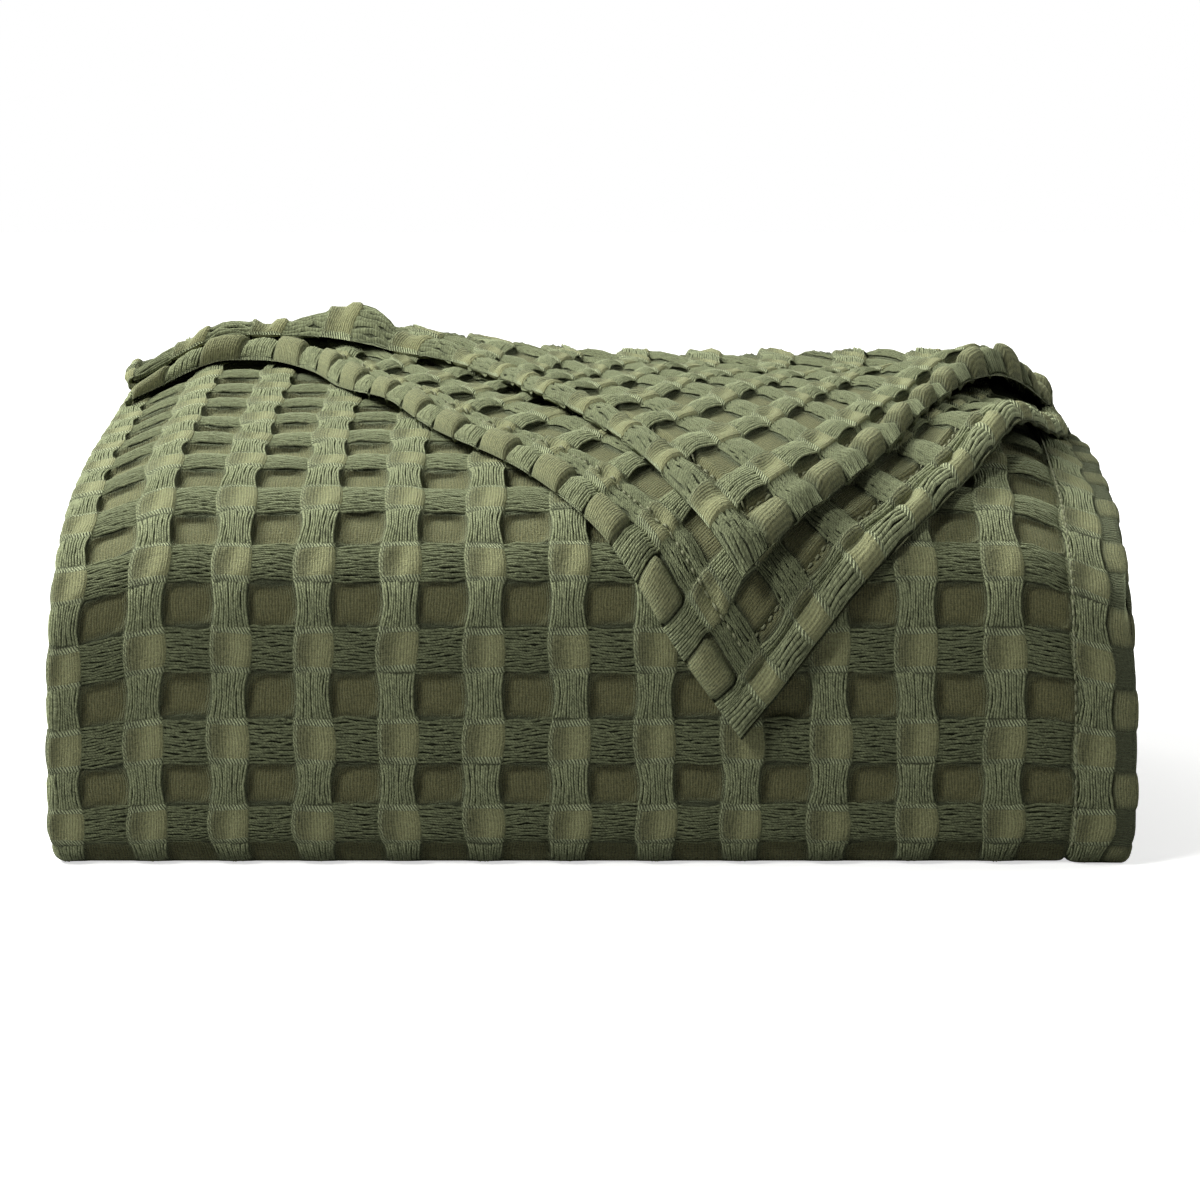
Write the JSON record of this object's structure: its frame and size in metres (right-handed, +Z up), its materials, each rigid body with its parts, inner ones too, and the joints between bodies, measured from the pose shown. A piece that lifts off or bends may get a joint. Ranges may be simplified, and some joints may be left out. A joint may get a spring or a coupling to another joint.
{
  "type": "folded waffle weave cotton blanket",
  "caption": "Olive green cotton blanket in a large square waffle weave, folded into a rounded bundle with two hemmed corners hanging over its front.",
  "frame": {"origin": "middle of the bottom of the bundle, on the surface it lies on", "axes": "+X to the right along the bundle, +Y from the upright front to the back, +Z up"},
  "size_m": [0.4004, 0.3134, 0.1841],
  "materials": {
    "cotton": "matte, soft cotton double cloth with raised squares, floats and sunk squares"
  },
  "bodies": {
    "root": {"blanket": "cotton"}
  },
  "joints": []
}
